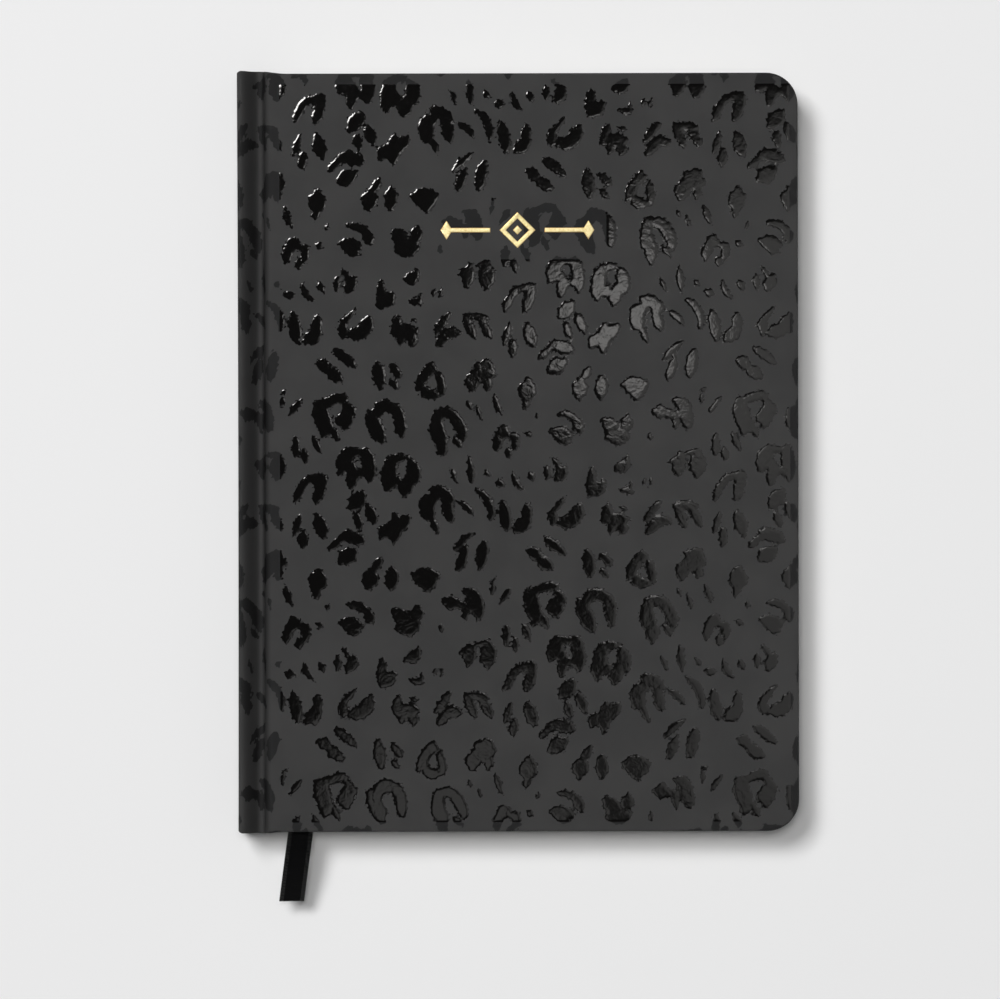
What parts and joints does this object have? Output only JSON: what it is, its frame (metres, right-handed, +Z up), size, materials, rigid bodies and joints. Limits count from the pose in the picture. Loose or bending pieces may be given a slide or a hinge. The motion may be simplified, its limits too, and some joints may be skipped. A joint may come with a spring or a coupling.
{
  "type": "hardcover composition notebook",
  "caption": "Closed hardcover composition notebook with round fore-edge corners, a glossy animal-spot print, a stamped gold device and a satin ribbon marker; both covers open on the spine.",
  "frame": {"origin": "centre of the back cover's outer face, which rests on the table; halfway between the spine's outer face and the fore-edge, and halfway between head and tail", "axes": "+X from the spine to the fore-edge, +Y from the tail to the head of the book, +Z up out of the front cover"},
  "size_m": [0.159, 0.2353, 0.0171],
  "materials": {
    "leaf_paper": "matt",
    "endpaper": "matt",
    "mull_cloth": "matt",
    "liner_paper": "matt",
    "band_cloth": "satin",
    "greyboard": "matt",
    "cover_paper": "soft-touch matt",
    "satin_ribbon": "satin",
    "gloss_varnish": "high gloss",
    "gold_foil": "polished"
  },
  "bodies": {
    "book_block": {"pages": "leaf_paper", "front_flyleaf": "endpaper", "back_flyleaf": "endpaper", "mull": "mull_cloth", "spine_liner": "liner_paper", "head_band": "band_cloth", "tail_band": "band_cloth", "spine_board": "greyboard", "spine_wrap": "cover_paper", "ribbon_marker": "satin_ribbon"},
    "front_cover": {"front_board": "greyboard", "front_wrap": "cover_paper", "front_pastedown": "endpaper", "gloss_spots": "gloss_varnish", "foil_device": "gold_foil"},
    "back_cover": {"back_board": "greyboard", "back_wrap": "cover_paper", "back_pastedown": "endpaper"}
  },
  "joints": [
    {"name": "front_cover_hinge", "type": "hinge", "parent": "book_block", "child": "front_cover", "pos_m": [-0.0754, 0, 0.01558], "axis": [0, -1, 0], "range_deg": [0, 178]},
    {"name": "back_cover_hinge", "type": "hinge", "parent": "book_block", "child": "back_cover", "pos_m": [-0.0754, 0, 0.00143], "axis": [0, 1, 0], "range_deg": [0, 178]}
  ]
}
